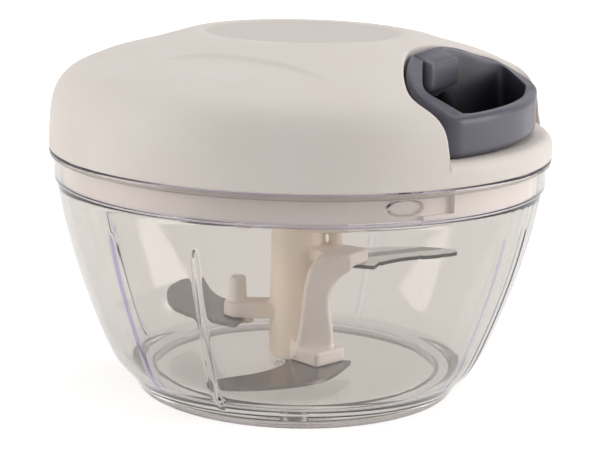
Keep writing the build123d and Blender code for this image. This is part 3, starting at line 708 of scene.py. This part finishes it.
def lid_skin():
    """The dome, the notch's shelf and wall, and the rim: one sheet that is then given its thickness."""
    turn = np.linspace(0, math.pi / 2, 40)
    shelf_bend = np.stack([62.35 + SHELF_BEND * np.sin(turn), 66.7 + SHELF_BEND * np.cos(turn)], axis=1)
    dome = Profile(smooth_line(DOME, 1500))
    shelf = Profile(np.vstack([[(r, SHELF_HEIGHT) for r in (0, 30, 60)], shelf_bend]))
    top, low = notch_edges(dome, shelf)
    start, end = top["angle"][0], top["angle"][-1]
    around, across = (end, math.tau + start), (end, start)
    plan = top["points"][:, :2]
    notch = np.vstack([plan, [[BEYOND_LID, plan[-1, 1]], [BEYOND_LID, plan[0, 1]]]])
    dome_rows = np.concatenate([np.arange(1.5, 22.6, 1.5), np.arange(23.4, 30.5, 0.4),
                                np.arange(31.5, 58, 1.45), np.arange(59, dome.end - 0.5, 0.95)])
    shelf_rows = np.concatenate([np.arange(34, 62, 1.6), np.arange(62.4, shelf.end - 0.3, 0.45)])
    surface = Surface()
    s, angle, faces = patch(dome, top, around, dome_rows, crease_points(dome), lambda p: ~in_polygon(p, notch))
    points = dome.at(s, angle)
    surface.add(shaped(rounded(points, top), points, dome.normal(s, angle)), faces)
    s, angle, faces = patch(shelf, low, across, shelf_rows, [], lambda p: in_polygon(p, notch))
    surface.add(rounded(shelf.at(s, angle), low), faces)
    head = shaped(top["points"] + top["round"][:, None] * top["wall"], top["points"],
                  dome.normal(top["s"], top["angle"]))
    foot = low["points"] + low["round"][:, None] * low["wall"]
    surface.grid([head + (foot - head) * t for t in np.linspace(0, 1, 9)])
    for ends in (around, across):
        surface.grid([polar(r, arc(*ends), z) for r, z in LID_RIM])
    points = np.vstack(surface.points)
    # painted shade: darker inside the dish on top of the dome
    painted_dish_shade = DISH_PAINTED_SHADE * (1 - step((reach(points) - DISH_RADIUS) / DISH_SOFT)) * step((points[:, 2] - 90) / 1.5)
    cover = surface.finish("lid_shell", lid_white, 50, painted_dish_shade, weld=0.002)
    wall = cover.modifiers.new("wall", "SOLIDIFY")
    wall.thickness = LID_WALL * MM
    wall.offset = -1
    wall.thickness_clamp = 1.0
    apply_all(cover)
    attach(cover, "lid")
    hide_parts("lid_cover")


lid_skin()


# ---------- handle ----------

GRIP_OUTSIDE = [(34.3, 0), (34.35, 4), (34.5, 8.2), (35.4, 11.7), (37.0, 16.2), (39.0, 20.8), (41.2, 24.6),
                (43.6, 26.8), (46.2, 27.6), (49.5, 27.3), (52.2, 26.7)]
GRIP_INSIDE = [(37.3, 0), (37.4, 4), (37.9, 8), (38.7, 10.6), (40, 13.6), (41.5, 16.8), (42.9, 19.8),
               (44.4, 22.4), (45.6, 23.6), (46.9, 23.7), (48.3, 23.0), (49.8, 22.1), (52.1, 20.9)]
DOME_LINE = np.array([(28, 93.4), (34, 91.9), (40, 90.1), (46, 88.5), (51, 87.1), (55, 85.5), (58.5, 83.9),
                      (61.9, 81.0)])
RIM_START, RIM_SOFT, RIM_BEND = 86.3, 0.7, 0.25
NEAR_FALL, FAR_FALL = (44.4, 0.66, 79.8), (43.6, 0.47, 80.3)  # each: x at its start, slope, lowest height
FLANK_COUNT, CORNER_COUNT, PANEL_COUNT = 64, 10, 34  # points in the runs of half an outline
GRIP_FOOT, GRIP_SIDE = 70.0, 71.2  # heights of its underside and of the lower end of its sides
CUP_MIDDLE, CUP_FLOOR, CUP_EDGE, CUP_SHADE = np.array([48.5, 0]), 72.0, 0.4, 0.95
BOSS_MIDDLE, BOSS_FOOT, BOSS_SIDE, BOSS_EDGE = np.array([38.2, 0]), 81.9, 82.7, 0.55
BOSS_END, BOSS_FACE = 35.6, 40.4  # x of its inner end and of its face towards the cup
GRIP_ROLL = 0.025


def rim_height(points):
    """Top of the handle: just under the dome's line, then falling towards the panel."""
    r = reach(points)
    dome = np.interp(r, DOME_LINE[:, 0], DOME_LINE[:, 1])
    a = dome + 0.3 - 0.5 * step((r - 42) / 9)
    near, far = [RIM_START - (points[:, 0] - start) * slope for start, slope, _ in (NEAR_FALL, FAR_FALL)]
    near = NEAR_FALL[2] + RIM_BEND * np.log(1 + np.exp((near - NEAR_FALL[2]) / RIM_BEND))
    far = np.maximum(far, FAR_FALL[2])
    b = near + (far - near) * step((points[:, 1] - 12) / 10)
    return -RIM_SOFT * np.log(np.exp(-a / RIM_SOFT) + np.exp(-b / RIM_SOFT))


def boss_top(points):
    return rim_height(points) + 0.04 - 0.04 * np.maximum(points[:, 1], 0)


def grip_plan(nose, side, radius, corner):
    """Closed outline from half a nose: nose and side, corner, panel on a circle, and the same mirrored."""
    side = np.array(side)
    circle, swing = math.atan2(side[1], side[0]), corner / radius
    flank = smooth_line(nose, 400)
    flank = np.vstack([flank, spread([flank[-1], side], 30)[1:]])
    t = run_length(flank)
    flank = flank[t < t[-1] - corner]
    turn = np.linspace(circle - swing, 0, PANEL_COUNT)
    panel = np.stack([radius * np.cos(turn), radius * np.sin(turn)], axis=1)
    half = np.vstack([spread(flank, FLANK_COUNT), bend(flank[-1], side, panel[0], CORNER_COUNT + 2)[1:-1], panel])
    return np.vstack([half, (half * np.array([1, -1]))[-2:0:-1]])


def boss_plan():
    """Closed outline of the boss, whose two corners towards the cup are round."""
    turn = np.linspace(math.pi / 2, 0, 9)
    far = np.stack([38.4 + 2.0 * np.cos(turn), 7.0 + 2.0 * np.sin(turn)], axis=1)
    near = np.stack([38.0 + 2.4 * np.cos(-turn), -6.7 + 2.4 * np.sin(-turn)], axis=1)[::-1]
    return np.vstack([
        spread([(BOSS_END, 0), (BOSS_END, 9.0)], 7), spread([(BOSS_END, 9.0), far[0]], 3)[1:], far[1:],
        spread([far[-1], (BOSS_FACE, 0)], 7)[1:], spread([(BOSS_FACE, 0), near[0]], 7)[1:], near[1:],
        spread([near[-1], (BOSS_END, -9.1)], 3)[1:], spread([(BOSS_END, -9.1), (BOSS_END, 0)], 7)[1:-1]])


def rounded_top(plan, out, top, size, count):
    """Rows that round an upright side into its top."""
    return [level(plan - out * size[:, None] * (1 - math.cos(turn)), top - size + size * math.sin(turn))
            for turn in np.linspace(0, math.pi / 2, count)[1:]]


def add_cup(surface):
    """From the underside up the outside, over the rim and down into the cup; the painted shade of its points is
    returned, deepening down into the cup.
    """
    outer = grip_plan(GRIP_OUTSIDE, (54.62, 25.8), 60.4, 2.4)
    inner = grip_plan(GRIP_INSIDE, (54.1, 19.8), 57.4, 0.35)
    back, out = units(outer - inner), outward(outer, inner)
    soft = 0.9 + 0.8 * step((outer[:, 0] - 38) / 6)
    rim, inner_rim = rim_height(outer - back * 1.6), rim_height(inner)
    rows = [level(outer - out * inset, z) for inset, z in (
        (3.2, GRIP_FOOT), (1.6, GRIP_FOOT), (0.9, 70.05), (0.4, 70.3), (0.1, 70.7), (0, GRIP_SIDE))]
    rows += [level(outer, GRIP_SIDE + (rim - soft - GRIP_SIDE) * t) for t in np.linspace(0.08, 1, 9)]
    rows += rounded_top(outer, out, rim, soft, 7)
    last, target = rows[-1][:, :2], inner + (outer - inner) * 0.12
    rows += [level(last + (target - last) * t, rim + (inner_rim - rim) * t) for t in (0.35, 0.7)]
    tints = [(0.0, 0.0)] * len(rows)  # painted shade of each row: on the near side, and on the far side
    for turn in np.linspace(0, math.pi / 2, 5):
        rows.append(level(inner + back * CUP_EDGE * (1 - math.sin(turn)),
                          inner_rim - CUP_EDGE + CUP_EDGE * math.cos(turn)))
        tints.append((0.3 * turn / 1.57, 0.0))
    for t in np.linspace(0.05, 1, 10):
        rows.append(level(inner, inner_rim - CUP_EDGE + (CUP_FLOOR + 1.2 - inner_rim + CUP_EDGE) * t))
        tints.append((0.45 + 0.5 * t, CUP_SHADE * float(step(t / 0.5))))
    rows += [level(inner - back * inset, CUP_FLOOR + rise) for inset, rise in (
        (0.1, 0.7), (0.35, 0.35), (0.7, 0.1), (1.2, 0))]
    rows += [level((inner - back * 1.2) + (CUP_MIDDLE - inner) * t, CUP_FLOOR) for t in (0.35, 0.7)]
    tints += [(CUP_SHADE, CUP_SHADE)] * (len(rows) - len(tints))
    surface.grid(rows, closed=True)
    surface.fan(rows[-1], [*CUP_MIDDLE, CUP_FLOOR])
    surface.fan(rows[0], [*CUP_MIDDLE, GRIP_FOOT], -1)
    # how much each column takes of the near side's painted shade; the far wall on the left takes more of the far
    # side's
    side = 1 - 0.7 * step((52 - outer[:, 0]) / 14) * step((outer[:, 1] + 4) / 12)
    fan = len(outer) + 1
    return [near * side + far * (1 - side) for near, far in tints] + [np.full(fan, CUP_SHADE), np.zeros(fan)]


def add_boss(surface):
    """The boss at the handle's inner end; the painted shade of its upright rows is returned, darkest at its foot
    and fading up its sides.
    """
    plan = boss_plan()
    out, tall = outward(plan, BOSS_MIDDLE), boss_top(plan)
    rows = [level(plan - out * inset, z) for inset, z in (
        (1.0, BOSS_FOOT), (0.4, 82.0), (0.1, 82.25), (0, BOSS_SIDE))]
    rows += [level(plan, BOSS_SIDE + (tall - BOSS_EDGE - BOSS_SIDE) * t) for t in np.linspace(0.2, 1, 5)]
    rows += rounded_top(plan, out, tall, np.full(len(plan), BOSS_EDGE), 6)
    for t in (0.4, 0.75):
        flat = (plan - out * BOSS_EDGE) + (BOSS_MIDDLE - plan + out * BOSS_EDGE) * t
        rows.append(level(flat, boss_top(flat)))
    surface.grid(rows, closed=True)
    surface.fan(rows[-1], [*BOSS_MIDDLE, boss_top(BOSS_MIDDLE[None])[0]])
    surface.fan(rows[0], [*BOSS_MIDDLE, BOSS_FOOT], -1)
    return [np.full(len(plan), tint) for tint in [0.5] * 4 + [0.3 - 0.06 * i for i in range(5)]]


def handle():
    surface = Surface()
    # painted shade of the cup and the boss; the rest of the handle has none
    tints = np.concatenate(add_cup(surface) + add_boss(surface))
    tints = np.append(tints, np.zeros(surface.count - len(tints)))
    for part in surface.points:
        part[:, 2] += GRIP_ROLL * part[:, 1]
    grip = surface.finish("handle_cup", handle_grey, 35, tints)
    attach(grip, "handle")
    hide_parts("handle_grip")


handle()


# ---------- bowl ----------

BOWL_WALL = [(42.12, 0.57), (43.68, 3.18), (46.93, 6.79), (51.74, 15.62), (56.94, 29.65), (61.30, 45.53),
             (63.05, 55.05)]
BOWL_THICK, BOWL_FLOOR, PIN_TOP = 2.2, 6.4, 7.2
RIBS = [math.radians(a) for a in (-85, 5, 95, 185, -108.5, -7.5)]
RIB_HEIGHTS = np.array([0.6, 0.14, 0.2, 0.35, 0.05, 0.05])
RIB_SHADES = np.array([0.35, 0.6, 0.5, 1.0, 0.9, 0.55])
RIB_HALF, RIB_START, RIB_END, LOW_RIB = 1.25, 4.2, 46.7, 0.1
LUGS = [math.radians(-39 + 120 * k) for k in range(3)]
LUG_HEIGHT, LUG_HALF_WIDTH, LUG_HALF_HEIGHT, LUG_DEPTH = 59.6, 5.1, 2.2, 0.9
TINTS = {"step": 0.35, "line": 0.45, "foot": 0.15}
SLIM = 38  # radius below which the columns beside ribs and lugs come no closer
COLUMNS = 200
RIB_COLUMNS = (-2.4, -1.5, -1.1, -0.9, -0.8, -0.68, -0.5, -0.25, 0, 0.25, 0.5, 0.68, 0.8, 0.9, 1.1, 1.5, 2.4)
LUG_COLUMNS = tuple(np.arange(-5.4, 5.5, 0.45))
RIB_ROOM, LUG_ROOM = 3.1, 6.2


def round_corner(before, corner, after, radius):
    """A rounded corner between two straight runs of a profile."""
    p, a, b = np.array(corner, float), np.array(before, float), np.array(after, float)
    a, b = p + (a - p) / np.linalg.norm(a - p) * radius, p + (b - p) / np.linalg.norm(b - p) * radius
    return bend(a, p, b, 5)


def bowl_profile():
    """Closed outline as rows of radius, height and the surface it belongs to."""
    outer = smooth_line(BOWL_WALL, 60)
    tangent = units(np.gradient(outer, axis=0))
    inner = outer + np.stack([-tangent[:, 1], tangent[:, 0]], axis=1) * BOWL_THICK
    inner = inner[inner[:, 1] > 7.6]
    runs = (
        ("under", [(0, 2.9), (12, 2.9), (24, 2.9), (34, 2.9)]),
        ("under", round_corner((34, 2.9), (37.8, 2.9), (37.9, 0.5), 0.7)),
        ("foot", round_corner((37.9, 2), (38.0, 0), (40, 0), 0.6)),
        ("foot", [(39.6, 0)]),
        ("foot", round_corner((39, 0), (41.4, 0), (42.12, 0.57), 0.55)),
        ("wall", outer),
        ("step", [(63.06, 55.3), (63.2, 55.55), (63.5, 55.7), (63.7, 55.9), (63.74, 56.2)]),
        ("collar", [(63.72, z) for z in (57, 58, 59, 60, 60.9, 61.4)]),
        ("lip", [(63.76, 61.75), (64.0, 61.95), (64.5, 62.02), (64.85, 62.15), (65.0, 62.45), (65.0, 63.0)]),
        ("line", [(64.9, 63.3), (64.6, 63.45)]),
        ("lip", [(63.6, 63.5), (62.5, 63.5), (62.05, 63.4), (61.84, 63.1), (61.8, 62.8)]),
        ("inside", [(61.8, z) for z in np.arange(62.2, 56.1, -0.4)]),
        ("inside", [(61.75, 56.0), (61.6, 55.75), (61.35, 55.6), (61.05, 55.4)]),
        ("bore", [p for p in inner[::-1] if p[1] < 55.2]),
        ("floor", smooth_line([inner[0], (44.2, 6.75), (42.4, 6.42), (40.6, BOWL_FLOOR)], 7)[1:]),
        ("floor", [(r, BOWL_FLOOR) for r in (36, 30, 22, 14, 8)]),
        ("floor", [(6.2, 6.42), (5.3, 6.6), (4.8, 6.95), (4.4, 7.15), (3.8, PIN_TOP), (2.6, PIN_TOP)]),
    )
    return [(float(r), float(z), kind) for kind, points in runs for r, z in points]


def columns(radius):
    """Angles round the bowl, closer together at the ribs and the lugs."""
    near = max(radius, SLIM)
    angles = []
    for centres, offsets in ((RIBS, RIB_COLUMNS), (LUGS, LUG_COLUMNS)):
        for centre in centres:
            angles += [(centre + offset / near) % math.tau for offset in offsets]
    taken = [(c % math.tau, RIB_ROOM) for c in RIBS] + [(c % math.tau, LUG_ROOM) for c in LUGS]
    for k in range(COLUMNS):
        angle = k * math.tau / COLUMNS
        if all(turned(angle, centre) * SLIM > room for centre, room in taken):
            angles.append(angle)
    return angles


def ribs(angle, radius, z):
    """How far the ribs stand out from the wall, and the tint: a rib's two sides, a low rib's middle, the foot."""
    gaps = np.array([turned(angle, centre) for centre in RIBS])
    which, across = gaps.argmin(axis=0), gaps.min(axis=0) * radius
    beyond = max(0.0, z - RIB_END)
    q = np.clip(np.sqrt(across ** 2 + beyond ** 2) / RIB_HALF, 0, 1)
    tall, start = RIB_HEIGHTS[which], step((z - RIB_START) / 2.5)
    proud = tall * (1 - q * q) ** 2 * (1 + 0.6 * q * q) * start
    tint = np.where(tall < LOW_RIB, np.clip(1.6 * (1 - q), 0, 1), np.clip(1 - np.abs(q - 0.75) / 0.25, 0, 1))
    return proud, np.maximum(tint * start * RIB_SHADES[which], float(step((1.6 - z) / 1.2)) * 0.4)


def lugs(angle, radius, z):
    """How far the lugs stand in from the collar, and the tint round them."""
    across = np.min([turned(angle, centre) for centre in LUGS], axis=0) * radius
    q = np.clip(np.sqrt((across / LUG_HALF_WIDTH) ** 2 + ((z - LUG_HEIGHT) / LUG_HALF_HEIGHT) ** 2), 0, 1)
    return LUG_DEPTH * (1 - q ** 5) ** 1.3, np.clip(1 - np.abs(q - 0.85) / 0.12, 0, 1) * 0.5


def bowl():
    order = np.argsort(columns(1000.0))
    rows, tints = [], []
    for radius, z, kind in bowl_profile():
        angle = np.array(columns(radius))[order]
        r, tint = np.full(len(angle), radius), np.zeros(len(angle))
        if kind == "wall":
            proud, tint = ribs(angle, radius, z)
            r += proud
        if kind == "inside":
            proud, tint = lugs(angle, radius, z)
            r -= proud
        tint = np.maximum(tint, TINTS.get(kind, 0))
        if kind in ("inside", "bore", "floor"):
            tint = np.where(tint > 0, tint, -1.0)
        rows.append(polar(r, angle, z))
        tints.append(tint)
    surface = Surface()
    surface.grid(rows, closed=True)
    surface.fan(rows[-1], [0, 0, PIN_TOP])
    tints.append(np.full(len(rows[-1]) + 1, -1.0))
    vessel = surface.finish("clear_bowl", bowl_clear, 60, np.concatenate(tints))
    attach(vessel, "bowl")
    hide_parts("bowl")


bowl()


# ---------- cord: it pays out between the lid and the handle ----------

CORD_RADIUS, CORD_HEIGHT = 0.9, 79.0
CORD_START, CORD_CORNER, CORD_END = np.array([17.91, -9.12]), np.array([30.2, 0.0]), 38.3
CORD_BEND = 4.0 * 0.4


def cord():
    """From the spool to the eyelet, round a soft corner, and straight to the knot behind the handle's wall."""
    into = (CORD_CORNER - CORD_START) / np.linalg.norm(CORD_CORNER - CORD_START)
    turn = bend(CORD_CORNER - into * CORD_BEND, CORD_CORNER, CORD_CORNER + np.array([CORD_BEND, 0]), 9)
    path = np.vstack([spread([CORD_START, turn[0]], 12), turn[1:], spread([turn[-1], (CORD_END, 0)], 40)[1:]])
    ahead = units(np.gradient(path, axis=0))
    across = np.stack([-ahead[:, 1], ahead[:, 0]], axis=1)
    ring = np.linspace(0, math.tau, 14, endpoint=False)
    rows = [level(spot + np.outer(CORD_RADIUS * np.cos(ring), side), CORD_HEIGHT + CORD_RADIUS * np.sin(ring))
            for spot, side in zip(path, across)]
    surface = Surface()
    surface.grid(rows, closed=True)
    surface.fan(rows[0], [*path[0], CORD_HEIGHT])
    surface.fan(rows[-1], [*path[-1], CORD_HEIGHT], -1)
    line = surface.finish("pull_cord", cord_weave, 60)
    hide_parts("cord_run")
    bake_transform(line)


cord()


# ---------- blade column: the moulding with its edges eased ----------

EASED_VOXEL, EASED_PASSES = 0.42, 5
TONGUE_HEIGHT, TONGUE_SCALE = 4.6, 0.95


def column():
    obj = bpy.data.objects.new("column_moulding", nodes["blade_column"].data.copy())
    bpy.context.scene.collection.objects.link(obj)
    remesh = obj.modifiers.new("even", "REMESH")
    remesh.mode = "VOXEL"
    remesh.voxel_size = EASED_VOXEL * MM
    soften = obj.modifiers.new("soften", "SMOOTH")
    soften.factor = 0.5
    soften.iterations = EASED_PASSES
    apply_all(obj)
    top = max(vertex.co.z for vertex in obj.data.vertices)
    for vertex in obj.data.vertices:
        if vertex.co.z > top - TONGUE_HEIGHT * MM:  # slimmer, so that it clears the hub as the lid turns
            vertex.co.x *= TONGUE_SCALE
            vertex.co.y *= TONGUE_SCALE
    obj.data.materials.clear()
    obj.data.materials.append(cream)
    for face in obj.data.polygons:
        face.use_smooth = True
    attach(obj, "blades")
    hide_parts("blade_column")


column()


# ---------- floor and light, in metres ----------

SHOWN_WHITE = ("Is Camera Ray", "Is Glossy Ray", "Is Transmission Ray")
GLOW_NEAR, GLOW_FAR = (0.3, 0.68), (1.2, 1.0)  # each a distance from the axis and the glow's strength there
MIRRORED_SIDES, MIRRORED_ENDS = (0.5, 0.4), (0.985, 1.0)  # each how far it faces the camera, and its strength
DIMNESS = 0.43
LAMP_COLOUR = (1, 0.99, 0.97)
LAMP_AIM = Vector((0, 0, 0.05))


def stage():
    """A floor that glows almost white and whiter further off, with enough grey to keep the shadow."""
    bpy.ops.mesh.primitive_circle_add(vertices=96, radius=9, fill_type="NGON", location=(0, 0, -0.00005))
    floor = bpy.context.object
    floor.name = "floor"
    n = Nodes(bpy.data.materials.new("floor"))
    grey = n.add("ShaderNodeBsdfDiffuse", Color=(0.5, 0.5, 0.5, 1))
    glow = n.add("ShaderNodeEmission")
    (start, low), (end, high) = GLOW_NEAR, GLOW_FAR
    strength = n.ranged(n.vector("LENGTH", n.place()), start, end, low, high)
    n.join(strength, glow.inputs["Strength"])
    shown = n.add("ShaderNodeAddShader")
    n.join(grey.outputs[0], shown.inputs[0])
    n.join(glow.outputs[0], shown.inputs[1])
    plain = n.add("ShaderNodeBsdfDiffuse", Color=(0.9, 0.89, 0.88, 1))
    floor.data.materials.append(n.finish(n.mix(n.rays(*SHOWN_WHITE), plain.outputs[0], shown.outputs[0])))


def world():
    """White to the camera and through the bowl, darker at the sides where it is mirrored, dim as a light."""
    bpy.context.scene.world = bpy.data.worlds.new("world")
    n = Nodes(bpy.context.scene.world, "ShaderNodeOutputWorld")
    facing = n.vector("DOT_PRODUCT", n.add("ShaderNodeTexCoord").outputs["Generated"], tuple(away))
    (start, low), (end, high) = MIRRORED_SIDES, MIRRORED_ENDS
    mirrored = n.ranged(n.calculate("ABSOLUTE", facing), start, end, low, high, smooth=True)
    shown = n.add("ShaderNodeBackground", Color=(1, 1, 1, 1))
    n.join(n.calculate("MAXIMUM", mirrored, n.rays("Is Camera Ray", "Is Transmission Ray")),
           shown.inputs["Strength"])
    dim = n.add("ShaderNodeBackground", Color=(1, 0.995, 0.99, 1), Strength=DIMNESS)
    n.finish(n.mix(n.rays(*SHOWN_WHITE), dim.outputs[0], shown.outputs[0]))


def lamp(name, across, near, height, size, watts):
    """An area lamp placed from the camera's side: across to the right, near towards the camera."""
    data = bpy.data.lights.new(name, "AREA")
    data.shape = "RECTANGLE"
    data.size, data.size_y = size
    data.energy = watts
    data.color = LAMP_COLOUR
    obj = bpy.data.objects.new(name, data)
    bpy.context.scene.collection.objects.link(obj)
    obj.location = Vector(right * across - away * near + UP * height)
    obj.rotation_euler = (LAMP_AIM - obj.location).to_track_quat("-Z", "Y").to_euler()


stage()
world()
lamp("left_box", -1.0, 0.15, 0.42, (0.7, 0.8), 5.4)
lamp("right_box", 1.0, 0.05, 0.42, (0.7, 0.8), 6.8)
lamp("top_box", 0.1, -0.25, 1.3, (0.9, 0.9), 4.6)
